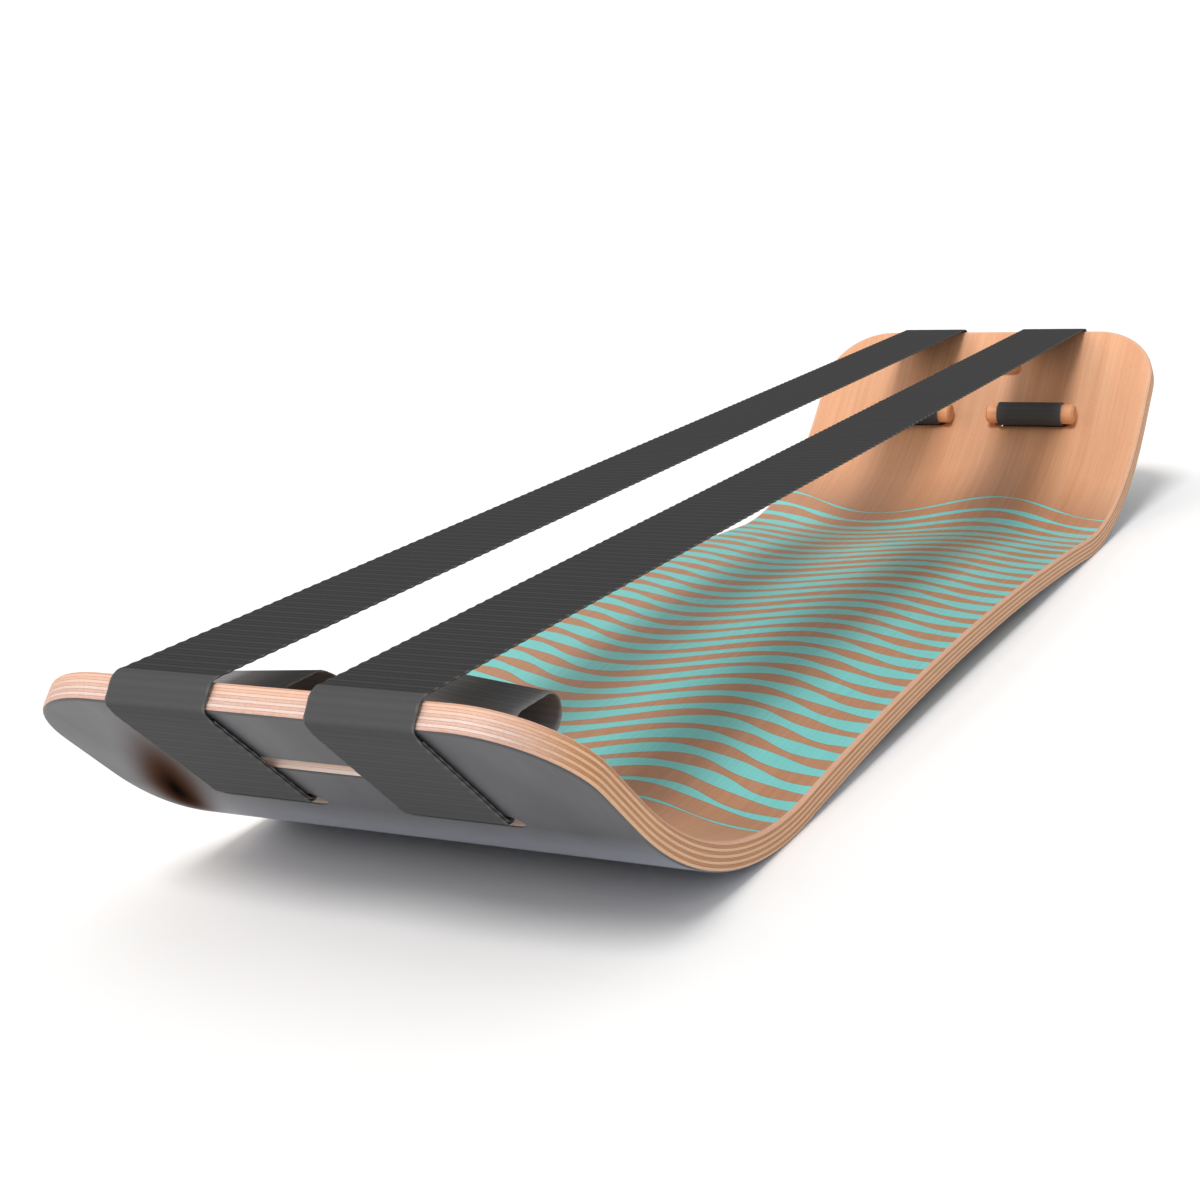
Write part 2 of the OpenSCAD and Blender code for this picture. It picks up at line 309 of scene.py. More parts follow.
def slate_film():
    """Phenolic film pressed onto the plywood: a smooth slate grey with a soft sheen, faint clouding and fine
    rubs, with a paler band under each bend that is painted light."""
    made, tree, shader = blank("slate_phenolic_film")
    place = add(tree, "UVMap", uv_map=GRAIN_MAP)
    clouds = streaks(tree, place, 90 * MM, 40 * MM, 4.0)
    rubs = streaks(tree, place, 45 * MM, 0.9 * MM)
    cloud = add(tree, "MapRange", {"Value": clouds, "From Min": 0.3, "From Max": 0.7})
    film_tones = {FACTOR: cloud, UNDER: colour("#4a4c50"), OVER: colour("#3e4044")}
    base = add(tree, "Mix", film_tones, MIXED, data_type="RGBA")
    # Painted light: a paler, bluer band under each bend
    reach = add(tree, "SeparateXYZ", {0: place}, "X")
    from_middle = add(tree, "Math", {0: reach, 1: HALF_REACH}, operation="SUBTRACT")
    distance = add(tree, "Math", {0: from_middle}, operation="ABSOLUTE")
    from_bend = add(tree, "Math", {0: distance, 1: HALF_REACH - LIT_BAND_MIDDLE}, operation="SUBTRACT")
    off = add(tree, "Math", {0: from_bend}, operation="ABSOLUTE")
    lit_band = add(tree, "MapRange", {"Value": off, "From Min": LIT_BAND_END, "From Max": LIT_BAND_FULL, "To Max": 0.85})
    base = add(tree, "Mix", {FACTOR: lit_band, UNDER: base, OVER: colour("#abb0be")}, MIXED, data_type="RGBA")
    rub = add(tree, "MapRange", {"Value": rubs, "From Min": 0.55, "From Max": 0.8, "To Max": 0.2})
    base = add(tree, "Mix", {FACTOR: rub, UNDER: base, OVER: colour("#73767d")}, MIXED, data_type="RGBA")
    # A painted dark reflection, brown round a black middle, lies beside the left strap
    moved = add(tree, "VectorMath", {0: place, 1: REFLECTION_MIDDLE}, operation="SUBTRACT")
    turned = add(tree, "VectorRotate", {"Vector": moved, "Angle": REFLECTION_TURN}, rotation_type="Z_AXIS")
    sized = add(tree, "VectorMath", {0: turned, 1: REFLECTION_SIZE}, operation="DIVIDE")
    from_reflection = add(tree, "VectorMath", {0: sized}, "Value", operation="LENGTH")
    reflection_fade = {"Value": from_reflection, "From Min": REFLECTION_EDGE, "From Max": REFLECTION_FULL}
    reflected = add(tree, "MapRange", reflection_fade, interpolation_type="SMOOTHSTEP")
    black_fade = {"Value": from_reflection, "From Min": BLACK_EDGE, "From Max": 0.0}
    blackest = add(tree, "MapRange", black_fade, interpolation_type="SMOOTHSTEP")
    reflection_tones = {FACTOR: blackest, UNDER: colour("#4d3427"), OVER: colour("#0e0b0a")}
    reflection_colour = add(tree, "Mix", reflection_tones, MIXED, data_type="RGBA")
    base = add(tree, "Mix", {FACTOR: reflected, UNDER: base, OVER: reflection_colour}, MIXED, data_type="RGBA")
    rough = add(
        tree, "MapRange", {"Value": clouds, "From Min": 0.2, "From Max": 0.8, "To Min": 0.34, "To Max": 0.46}
    )
    finish_surface(tree, shader, base, rough, rubs, 0.01 * MM)
    # The painted dark reflection has no sheen
    clean = add(tree, "MapRange", {"Value": reflected, "To Min": 1.0, "To Max": 0.0})
    dulled = add(tree, "Math", {0: clean, 1: SHEEN_FALL}, operation="POWER")
    sheen = add(tree, "Math", {0: dulled, 1: FILM_SHEEN}, operation="MULTIPLY")
    tree.links.new(sheen, shader.inputs["Specular IOR Level"])
    return made


# The webbing's ribs, how soon they flatten and the painted shade gives way to painted light at the folds, the
# painted highlights at its edges, and its higher ribs
RIB_PITCH = 3.85 * MM
SPAN_FADE = 1.5 * MM
SELVEDGE_HIGHLIGHT_DEPTH = 1.2 * MM
HIGH_RIB = 0.6


def webbing(name, middle, fold, dark, pale):
    """Woven polyester webbing: charcoal yarn with low cross ribs and a dull face. Along the stretched span,
    which lies between the folds on both sides of its middle, the ribs stand open and the colour is painted
    dark as painted shade, and past the folds it is pressed flat and painted paler as painted light, in these
    two tones. Middle and fold are distances along the strap."""
    made, tree, shader = blank(name)
    place = add(tree, "UVMap", uv_map=GRAIN_MAP)
    along, across = add(tree, "SeparateXYZ", {0: place}).node.outputs[:2]
    pair_angle = add(tree, "Math", {0: along, 1: math.pi / RIB_PITCH}, operation="MULTIPLY")
    pair = add(tree, "Math", {0: pair_angle}, operation="COSINE")
    rib_angle = add(tree, "Math", {0: pair_angle, 1: 2.0}, operation="MULTIPLY")
    wave = add(tree, "Math", {0: rib_angle}, operation="COSINE")
    # Every second rib stands a little higher
    ridge = add(tree, "Math", {0: pair, 1: HIGH_RIB, 2: wave}, operation="MULTIPLY_ADD")
    rib = add(tree, "MapRange", {"Value": ridge, "From Min": -1.0, "From Max": 1 + HIGH_RIB})
    # Yarns are near 0.3 mm, drawn at 0.6 mm so that they show
    yarn = streaks(tree, place, 2.5 * MM, 0.6 * MM)
    summed = add(tree, "Math", {0: rib, 1: yarn}, operation="ADD")
    tone = add(tree, "Math", {0: summed, 1: 0.5}, operation="MULTIPLY")
    shade = add(tree, "MapRange", {"Value": tone, "From Min": 0.2, "From Max": 0.75})
    # The open span is painted darker as painted shade, and the ends past the folds paler as painted light
    shaded_open_tones = {FACTOR: shade, UNDER: colour("#2d2d2e"), OVER: colour("#3b3b3c")}
    shaded_open_weave = add(tree, "Mix", shaded_open_tones, MIXED, data_type="RGBA")
    lit_pressed_tones = {FACTOR: shade, UNDER: colour(dark), OVER: colour(pale)}
    lit_pressed = add(tree, "Mix", lit_pressed_tones, MIXED, data_type="RGBA")
    from_middle = add(tree, "Math", {0: along, 1: middle}, operation="SUBTRACT")
    distance = add(tree, "Math", {0: from_middle}, operation="ABSOLUTE")
    fold_fade = {"Value": distance, "From Min": middle - fold - SPAN_FADE, "From Max": middle - fold}
    past = add(tree, "MapRange", fold_fade)
    base = add(tree, "Mix", {FACTOR: past, UNDER: shaded_open_weave, OVER: lit_pressed}, MIXED, data_type="RGBA")
    # Each turn of the weft round the selvedge has a paler fleck: a painted highlight where it catches the
    # light
    edge = add(tree, "Math", {0: across}, operation="ABSOLUTE")
    edge_fade = {"Value": edge, "From Min": STRAP_WIDTH / 2 - SELVEDGE_HIGHLIGHT_DEPTH, "From Max": STRAP_WIDTH / 2}
    at_edge = add(tree, "MapRange", edge_fade)
    at_turn = add(
        tree, "MapRange", {"Value": pair, "From Min": -0.6, "From Max": 0.9, "To Min": 0.2, "To Max": 0.5}
    )
    fleck = add(tree, "Math", {0: at_edge, 1: at_turn}, operation="MULTIPLY")
    base = add(tree, "Mix", {FACTOR: fleck, UNDER: base, OVER: colour("#80807d")}, MIXED, data_type="RGBA")
    rough = add(tree, "MapRange", {"Value": tone, "To Min": 0.9, "To Max": 0.75})
    flatness = add(tree, "MapRange", {"Value": past, "To Min": 1.0, "To Max": 0.15})
    relief = add(tree, "Math", {0: tone, 1: flatness}, operation="MULTIPLY")
    finish_surface(tree, shader, base, rough, relief, 0.14 * MM)
    shader.inputs["Specular IOR Level"].default_value = 0.15
    return made


# The dowels' growth rings, and how far they wander
RING_PITCH = 1.6 * MM
RING_WOBBLE = 3 * MM


def dowel_beech():
    """Turned, oiled beech rod: reddish brown fibres along it, and growth rings and pores on its cut ends."""
    made, tree, shader = blank("oiled_beech_dowel")
    place = add(tree, "TexCoord", out="Object")
    turned = add(tree, "VectorRotate", {"Vector": place, "Angle": math.pi / 2}, rotation_type="Z_AXIS")
    wood, relief = beech(tree, turned, "#f0ae80", "#d8905f")
    height = add(tree, "SeparateXYZ", {0: place}, "Z")
    wobble = streaks(tree, place, 6 * MM, 6 * MM)
    wavy = add(tree, "Math", {0: wobble, 1: RING_WOBBLE, 2: height}, operation="MULTIPLY_ADD")
    angle = add(tree, "Math", {0: wavy, 1: 2 * math.pi / RING_PITCH}, operation="MULTIPLY")
    rings = add(tree, "Math", {0: angle}, operation="SINE")
    ring = add(tree, "MapRange", {"Value": rings, "From Min": -1.0})
    ring_tones = {FACTOR: ring, UNDER: colour("#b87849"), OVER: colour("#dc9f6e")}
    end = add(tree, "Mix", ring_tones, MIXED, data_type="RGBA")
    facing = add(tree, "SeparateXYZ", {0: add(tree, "NewGeometry", out="Normal")}, "Y")
    across = add(tree, "Math", {0: facing}, operation="ABSOLUTE")
    cut = add(tree, "MapRange", {"Value": across, "From Min": 0.5, "From Max": 0.8})
    base = add(tree, "Mix", {FACTOR: cut, UNDER: wood, OVER: end}, MIXED, data_type="RGBA")
    rough = add(tree, "MapRange", {"Value": relief, "To Min": 0.4, "To Max": 0.55})
    finish_surface(tree, shader, base, rough, relief, 0.04 * MM)
    return made


# Meshes

def piece(name, points, faces, materials, map_points, kinds=None, smooth_angle=40.0):
    """A smooth mesh object. map_points gives each corner its place in the grain map, and kinds gives each
    face its material."""
    mesh = bpy.data.meshes.new(name)
    mesh.from_pydata(points, [], faces)
    for material in materials:
        mesh.materials.append(material)
    if kinds:
        mesh.polygons.foreach_set("material_index", kinds)
    layer = mesh.uv_layers.new(name=GRAIN_MAP)
    flat = [number for face in map_points for corner in face for number in corner]
    layer.uv.foreach_set("vector", flat)
    mesh.shade_smooth()
    mesh.set_sharp_from_angle(angle=math.radians(smooth_angle))
    mesh.validate()
    made = bpy.data.objects.new(name, mesh)
    bpy.context.scene.collection.objects.link(made)
    return made


def on_board(reach, side, depth):
    """A point of the board, from its way along the inner face, its way from the middle and its depth below
    that face."""
    from_end = min(reach, FULL_REACH - reach)
    if from_end <= KICK_LENGTH:
        angle = -KICK_ANGLE
        x = -END_SPAN / 2 + from_end * math.cos(KICK_ANGLE)
        z = EDGE_Z - from_end * math.sin(KICK_ANGLE)
    elif from_end <= BEND_REACH:
        angle = (from_end - KICK_LENGTH) / BEND_RADIUS - KICK_ANGLE
        x = BEND_X + BEND_RADIUS * math.sin(angle)
        z = BEND_Z - BEND_RADIUS * math.cos(angle)
    else:
        angle = (HALF_REACH - from_end) / ARCH_RADIUS
        x = -ARCH_RADIUS * math.sin(angle)
        z = ARCH_Z + ARCH_RADIUS * math.cos(angle)
    x += depth * math.sin(angle)
    z -= depth * math.cos(angle)
    return Vector((x if reach <= HALF_REACH else -x, side, z))


def evenly(start, end, step):
    """Numbers from start to end, about a step apart."""
    count = max(1, round(abs(end - start) / step))
    return [start + (end - start) * i / count for i in range(count + 1)]


# The lines across and along the board where its mesh bends, close together in the two bends
CROSS_STEP = 12 * MM
BEND_STEP = 4 * MM
LENGTH_STEP = 22 * MM
front_lines = evenly(CORNER_RADIUS, KICK_LENGTH, CROSS_STEP)[:-1]
front_lines += evenly(KICK_LENGTH, BEND_REACH, BEND_STEP)[:-1]
front_lines += evenly(BEND_REACH, HALF_REACH, CROSS_STEP)
CROSS_LINES = front_lines + [FULL_REACH - s for s in reversed(front_lines[:-1])]
LENGTH_LINES = evenly(-BOARD_WIDTH / 2, BOARD_WIDTH / 2, LENGTH_STEP)[1:-1]
CORNER_STEPS = 14
SLOT_STEPS = 10

# The rounding of the board's outer edge at its inner face and at its underside, and that of the slots
BOARD_EASE = 2.4 * MM, 2.0 * MM
SLOT_EASE = 0.4 * MM, 0.4 * MM
EDGE_LOOP = 0.8 * MM
# Where the rounded layers have loops, as shares of their thickness from the outer face
FACE_STEPS = 0.04, 0.15, 0.35, 0.6
FILM_STEPS = 0.8, 0.5, 0.25, 0.08
FILL_TOLERANCE = 1e-7
# Which of a layer's materials its faces, its outer edge and the walls of its slots have
FACE_LOOK, EDGE_LOOK, WALL_LOOK = range(3)


def ease(depth, radii):
    """How far an edge that is rounded to these radii, above and below, is drawn in at a depth."""
    drawn = 0.0
    for radius, near in zip(radii, (depth, BOARD_THICKNESS - depth)):
        if near < radius:
            drawn = radius - math.sqrt(radius ** 2 - (radius - max(near, 0.0)) ** 2)
    return drawn


def arc(centre, radius, start, turn, steps):
    """Points on part of a circle."""
    angles = [start + turn * i / steps for i in range(steps + 1)]
    return [(centre[0] + radius * math.cos(a), centre[1] + radius * math.sin(a)) for a in angles]


def board_outline(inset):
    """The board's flat outline, drawn in by an inset, counter-clockwise."""
    half = BOARD_WIDTH / 2
    far = FULL_REACH - CORNER_RADIUS
    radius = CORNER_RADIUS - inset
    quarter = math.pi / 2
    points = [(s, -half + inset) for s in CROSS_LINES]
    points += arc((far, -half + CORNER_RADIUS), radius, -quarter, quarter, CORNER_STEPS)[1:]
    points += [(FULL_REACH - inset, y) for y in LENGTH_LINES if abs(y) < half - CORNER_RADIUS - EDGE_LOOP]
    points += arc((far, half - CORNER_RADIUS), radius, 0.0, quarter, CORNER_STEPS)[:-1]
    points += [(s, half - inset) for s in reversed(CROSS_LINES)]
    points += arc((CORNER_RADIUS, half - CORNER_RADIUS), radius, quarter, quarter, CORNER_STEPS)[1:]
    points += [(inset, y) for y in reversed(LENGTH_LINES) if abs(y) < half - CORNER_RADIUS - EDGE_LOOP]
    points += arc((CORNER_RADIUS, -half + CORNER_RADIUS), radius, 2 * quarter, quarter, CORNER_STEPS)[:-1]
    return points


# Each slot's way along the underside, its way from the middle, and how far it leans for each depth
PLUMB = math.tan(KICK_ANGLE)
SLOTS = [(CENTRE_SLOT_REACH, 0.0, PLUMB), (FULL_REACH - CENTRE_SLOT_REACH, 0.0, -PLUMB)]
SLOTS += [
    (reach, side, 0.0)
    for reach in (SIDE_SLOT_REACH, FULL_REACH - SIDE_SLOT_REACH)
    for side in (-STRAP_SIDE, STRAP_SIDE)
]


def slot_middle(slot, depth):
    """A slot's flat middle at a depth. The centre slots are cut straight down, the others square to the
    face."""
    reach, side, lean = slot
    return reach - lean * (BOARD_THICKNESS - depth), side


def slot_outline(slot, inset, depth):
    """A slot's outline at a depth, opened out by an inset, clockwise."""
    reach, side = slot_middle(slot, depth)
    radius = SLOT_WIDTH / 2 + inset
    straight = (SLOT_LENGTH - SLOT_WIDTH) / 2
    points = arc((reach, side + straight), radius, math.pi, -math.pi, SLOT_STEPS)
    points += arc((reach, side - straight), radius, 0.0, -math.pi, SLOT_STEPS)
    return points


def loops_at(depth, extra=0.0):
    """All edges of a layer at a depth: the board's outline, then its slots."""
    outlines = [board_outline(ease(depth, BOARD_EASE) + extra)]
    outlines += [slot_outline(slot, ease(depth, SLOT_EASE) + extra, depth) for slot in SLOTS]
    return outlines


def in_board(point, inset):
    """Whether a flat point lies inside the outline."""
    reach = min(point[0], FULL_REACH - point[0])
    side = abs(point[1])
    corner = CORNER_RADIUS - reach, side - BOARD_WIDTH / 2 + CORNER_RADIUS
    if min(corner) > 0:
        return math.hypot(*corner) < CORNER_RADIUS - inset
    return reach > inset and side < BOARD_WIDTH / 2 - inset


def in_slot(point, slot, inset, depth):
    """Whether a flat point lies inside a slot at a depth."""
    reach, side = slot_middle(slot, depth)
    straight = (SLOT_LENGTH - SLOT_WIDTH) / 2
    past = max(0.0, abs(point[1] - side) - straight)
    return math.hypot(point[0] - reach, past) < SLOT_WIDTH / 2 + inset


def flat_face(depth):
    """Fills the area inside the close loops at a depth. Gives its flat points, its faces, and which point
    each of the loops' points became."""
    outlines = loops_at(depth, EDGE_LOOP)
    board_inset = ease(depth, BOARD_EASE) + EDGE_LOOP
    slot_inset = ease(depth, SLOT_EASE) + EDGE_LOOP
    points = [p for outline in outlines for p in outline]
    edges = []
    start = 0
    for outline in outlines:
        count = len(outline)
        edges += [(start + i, start + (i + 1) % count) for i in range(count)]
        start += count
    rim = BOARD_WIDTH / 2 - board_inset
    for reach in CROSS_LINES:
        edges.append((len(points), len(points) + 1))
        points += [(reach, -rim), (reach, rim)]
    for side in LENGTH_LINES:
        edges.append((len(points), len(points) + 1))
        points += [(CROSS_LINES[0], side), (CROSS_LINES[-1], side)]
    filled = delaunay_2d_cdt([Vector(p) for p in points], edges, [], 0, FILL_TOLERANCE)
    flat, _, triangles, origins, _, _ = filled
    became = {}
    for i, sources in enumerate(origins):
        for source in sources:
            became[source] = i
    kept = []
    for triangle in triangles:
        middle = sum((flat[i] for i in triangle), Vector((0.0, 0.0))) / 3
        cut = any(in_slot(middle, slot, slot_inset, depth) for slot in SLOTS)
        if in_board(middle, board_inset) and not cut:
            kept.append(list(triangle))
    return [tuple(p) for p in flat], kept, became


def board_layer(name, top, bottom, materials):
    """One layer of the board between two depths: two faces, its outer edge and the walls of its slots, with
    its materials in that order."""
    depths = [top, bottom]
    if top == 0:
        depths[1:1] = [share * (bottom - top) for share in FACE_STEPS]
    elif bottom == BOARD_THICKNESS:
        depths[1:1] = [BOARD_THICKNESS - share * (bottom - top) for share in FILM_STEPS]
    else:
        depths[1:1] = [(top + bottom) / 2]
    points = []
    faces = []
    map_points = []
    kinds = []
    rings = []
    for depth in depths:
        ring = []
        for outline in loops_at(depth):
            ring.append(list(range(len(points), len(points) + len(outline))))
            points += [on_board(s, y, depth) for s, y in outline]
        rings.append(ring)
    # The edges, one band for each pair of depths
    for upper, lower, depth, next_depth in zip(rings, rings[1:], depths, depths[1:]):
        for index, (above, below) in enumerate(zip(upper, lower)):
            way = 0.0
            for i in range(len(above)):
                j = (i + 1) % len(above)
                step = (points[above[j]] - points[above[i]]).length
                faces.append([below[i], below[j], above[j], above[i]])
                ahead = way + step
                map_points.append([(way, next_depth), (ahead, next_depth), (ahead, depth), (way, depth)])
                kinds.append(WALL_LOOK if index else EDGE_LOOK)
                way = ahead
    # The two faces, each with a close loop along its edges
    for ring, depth, turned in ((rings[0], depths[0], False), (rings[-1], depths[-1], True)):
        flat, triangles, became = flat_face(depth)
        first = len(points)
        points += [on_board(s, y, depth) for s, y in flat]
        flat_of = {first + i: p for i, p in enumerate(flat)}
        made = [[first + i for i in triangle] for triangle in triangles]
        source = 0
        for outline, edge in zip(loops_at(depth), ring):
            count = len(outline)
            close = [first + became[source + i] for i in range(count)]
            flat_of.update(zip(edge, outline))
            made += [[edge[i], edge[(i + 1) % count], close[(i + 1) % count], close[i]] for i in range(count)]
            source += count
        for face in made:
            if turned:
                face.reverse()
            faces.append(face)
            map_points.append([flat_of[i] for i in face])
            kinds.append(FACE_LOOK)
    used = sorted({i for face in faces for i in face})
    new = {old: i for i, old in enumerate(used)}
    points = [points[i] for i in used]
    faces = [[new[i] for i in face] for face in faces]
    return piece(name, points, faces, materials, map_points, kinds)


# The webbing's way at one end, as (distance down the slope, height above the inner face)
EYE_RADIUS = DOWEL_RADIUS + DOWEL_CLEARANCE + STRAP_THICKNESS / 2
EYE_OUTER = DOWEL_RADIUS + DOWEL_CLEARANCE + STRAP_THICKNESS
SLOT_LIFT = (SIDE_SLOT_REACH + SLOT_WIDTH / 2 - KICK_LENGTH) ** 2 / (2 * BEND_RADIUS)
EYE_BED = math.sqrt((EYE_OUTER + STRAP_SEAT) ** 2 - (SLOT_WIDTH / 2) ** 2)
EYE_HEIGHT = SLOT_LIFT + max(EYE_BED, DOWEL_RADIUS + DOWEL_CLEARANCE)
TAIL_HEIGHT = -BOARD_THICKNESS - STRAP_SEAT - STRAP_THICKNESS / 2
RUN_HEIGHT = TAIL_HEIGHT - STRAP_THICKNESS
NECK_OFFSET = STRAP_THICKNESS / 2
EYE_OPENING = math.radians(24)
NECK_DROP = 2 * MM
FOLD_OFF = STRAP_SEAT + STRAP_THICKNESS / 2
FOLD_HEIGHT = FOLD_OFF * (1 - math.sin(KICK_ANGLE)) / math.cos(KICK_ANGLE)
WEBBING_STEP = RIB_PITCH / 4
TURN_STEPS = 10
EYE_STEPS = 60
SPARE_STEPS = 40
NO_LENGTH = 1e-12


def at_end(down, height, end):
    """A point of the upturned end, in the board's length and height, from its way down the slope and its
    height above the inner face. End is -1 at the front and 1 at the back."""
    x = -END_SPAN / 2 + down * math.cos(KICK_ANGLE) + height * math.sin(KICK_ANGLE)
    z = EDGE_Z - down * math.sin(KICK_ANGLE) + height * math.cos(KICK_ANGLE)
    return Vector((x if end < 0 else -x, z))


def turned_corner(before, corner, after, radius):
    """A corner of a way, rounded to a radius."""
    a = (before - corner).normalized()
    b = (after - corner).normalized()
    half = a.angle(b) / 2
    centre = corner + (a + b).normalized() * radius / math.sin(half)
    start = corner + a * radius / math.tan(half) - centre
    end = corner + b * radius / math.tan(half) - centre
    sweep = start.angle_signed(end)
    return [centre + Matrix.Rotation(-sweep * i / TURN_STEPS, 2) @ start for i in range(TURN_STEPS + 1)]


def end_way():
    """The webbing's middle line at one end: sewn-down tail, slot, eye round the dowel, slot again, outer run
    and end edge."""
    flat = [Vector((TAIL_REACH, TAIL_HEIGHT))]
    up = SIDE_SLOT_REACH - NECK_OFFSET
    down = SIDE_SLOT_REACH + NECK_OFFSET
    low = EYE_HEIGHT - EYE_RADIUS - NECK_DROP
    eye_turn = 2 * math.pi - 2 * EYE_OPENING
    eye_start = -math.pi / 2 - EYE_OPENING
    eye_points = arc((SIDE_SLOT_REACH, EYE_HEIGHT), EYE_RADIUS, eye_start, -eye_turn, EYE_STEPS)
    eye = [Vector(p) for p in eye_points]
    tail_turn = SLOT_TURN_RADIUS + STRAP_THICKNESS / 2
    flat += turned_corner(flat[0], Vector((up, TAIL_HEIGHT)), Vector((up, low)), tail_turn)
    flat += [Vector((up, low))] + eye + [Vector((down, low))]
    run_turn = tail_turn + STRAP_THICKNESS
    fold = Vector((-FOLD_OFF, TAIL_HEIGHT))
    top = Vector((-FOLD_OFF - FOLD_BULGE, FOLD_HEIGHT - FOLD_BULGE * math.tan(KICK_ANGLE)))
    span = top + Vector((math.cos(KICK_ANGLE), math.sin(KICK_ANGLE)))
    tail_end = Vector((TAIL_REACH, RUN_HEIGHT))
    flat += turned_corner(Vector((down, low)), Vector((down, RUN_HEIGHT)), tail_end, run_turn)
    flat += [tail_end]
    flat += turned_corner(tail_end, fold, top, LOW_FOLD_RADIUS + STRAP_THICKNESS / 2)
    flat += turned_corner(fold, top, span, TOP_FOLD_RADIUS + STRAP_THICKNESS / 2)
    return flat


def spare_way():
    """The spare loop's middle line, which lies level on the eye and has round ends."""
    radius = (SPARE_LOOP_HEIGHT - STRAP_THICKNESS) / 2
    straight = (SPARE_LOOP_LENGTH - SPARE_LOOP_HEIGHT) / 2
    rise = EYE_OUTER - SPARE_LOOP_SINK + SPARE_LOOP_HEIGHT / 2
    middle = at_end(SIDE_SLOT_REACH, EYE_HEIGHT, -1) + Vector((SPARE_LOOP_SHIFT, rise))
    quarter = math.pi / 2
    points = arc((straight, 0.0), radius, -quarter, math.pi, SPARE_STEPS)
    points += arc((-straight, 0.0), radius, quarter, math.pi, SPARE_STEPS)
    return [middle + Vector(p) for p in points]


def way_length(way):
    """How long a way is."""
    return sum((b - a).length for a, b in zip(way, way[1:]))


def resampled(way, step, closed=False):
    """The way again, with points a step apart, and the distance of each along it."""
    if closed:
        way = way + way[:1]
    lengths = [0.0]
    for a, b in zip(way, way[1:]):
        lengths.append(lengths[-1] + (b - a).length)
    count = round(lengths[-1] / step)
    points = []
    distances = []
    index = 0
    for i in range(count + (0 if closed else 1)):
        target = lengths[-1] * i / count
        while index < len(way) - 2 and lengths[index + 1] < target:
            index += 1
        share = (target - lengths[index]) / max(lengths[index + 1] - lengths[index], NO_LENGTH)
        points.append(way[index].lerp(way[index + 1], share))
        distances.append(target)
    return points, distances


# The webbing's relief: its ribs, the bumps of its selvedges on the open span and elsewhere, and their bead
RIB_HEIGHT = 0.05 * MM
SELVEDGE_BUMP = 0.25 * MM
PRESSED_BUMP = 0.08 * MM
SELVEDGE_BEAD = 0.06 * MM
VISIBLE_THICKNESS = 1.1 * MM
# The selvedge's points, by their way in from the edge and their share of the bead's height
SELVEDGE_POINTS = (0.25 * MM, 0.75), (1.0 * MM, 1.0), (2.0 * MM, 0.9)
# Where its face starts, and the lines along it as shares of the half width
FACE_START = 2.8 * MM
FACE_LINES = 0.55, 0.18
HIGH_RIB_SHARE = 0.3


def webbing_section(distance, bump):
    """The webbing's section at a distance along it, as (across, height) points, with its ribs and with
    selvedges that stand out by a bump at every second rib."""
    rib = math.cos(2 * math.pi * distance / RIB_PITCH)
    wide = math.cos(math.pi * distance / RIB_PITCH)
    half = STRAP_WIDTH / 2 - bump + bump * wide
    thick = VISIBLE_THICKNESS / 2
    ridge = (1 - HIGH_RIB_SHARE) * rib + HIGH_RIB_SHARE * wide
    face = thick - RIB_HEIGHT + RIB_HEIGHT * ridge
    bead = thick + SELVEDGE_BEAD * wide
    upper = [(-half, 0.0)]
    upper += [(-half + inward, share * bead) for inward, share in SELVEDGE_POINTS]
    upper.append((-half + FACE_START, face))
    upper += [(-share * half, face) for share in FACE_LINES]
    upper += [(-across, high) for across, high in reversed(upper)]
    return upper + [(across, -high) for across, high in reversed(upper[1:-1])]


def webbing_strip(name, way, side, material, span=(0.0, 0.0), closed=False, tilt=0.0, lean=(0.0, 0.0)):
    """Makes a strip of webbing along a way in the board's length and height, with its middle at a side, and
    gives it with its length. Its selvedges are rough between the two distances of its open span. A tilt makes
    its upper part rise to the left, and a lean shifts that part towards the front and to the left."""
    middles, distances = resampled(way, WEBBING_STEP, closed)
    count = len(middles)
    lowest = min(m.y for m in middles)
    highest = max(m.y for m in middles)
    points = []
    maps = []
    for i, middle in enumerate(middles):
        before = middles[i - 1] if closed else middles[max(i - 1, 0)]
        after = middles[(i + 1) % count] if closed else middles[min(i + 1, count - 1)]
        along = (after - before).normalized()
        out = Vector((-along.y, along.x))
        share = (middle.y - lowest) / (highest - lowest)
        bump = SELVEDGE_BUMP if span[0] < distances[i] < span[1] else PRESSED_BUMP
        for across, high in webbing_section(distances[i], bump):
            place = middle + out * high
            leant = side + across + lean[1] * share
            points.append(Vector((place.x - lean[0] * share, leant, place.y + tilt * share * across)))
            maps.append((distances[i], across))
    size = len(webbing_section(0.0, PRESSED_BUMP))
    faces = []
    map_points = []
    last = count if closed else count - 1
    full = distances[1] * count
    for i in range(last):
        here = i * size
        there = (i + 1) % count * size
        wrap = full if there == 0 else 0.0
        for k in range(size):
            n = (k + 1) % size
            faces.append([here + k, here + n, there + n, there + k])
            ahead = [(maps[there + m][0] + wrap, maps[there + m][1]) for m in (n, k)]
            map_points.append([maps[here + k], maps[here + n]] + ahead)
    if not closed:
        for cap in (list(reversed(range(size))), list(range((count - 1) * size, count * size))):
            faces.append(cap)
            map_points.append([maps[i] for i in cap])
    return piece(name, points, faces, [material], map_points, smooth_angle=60.0), distances[-1]


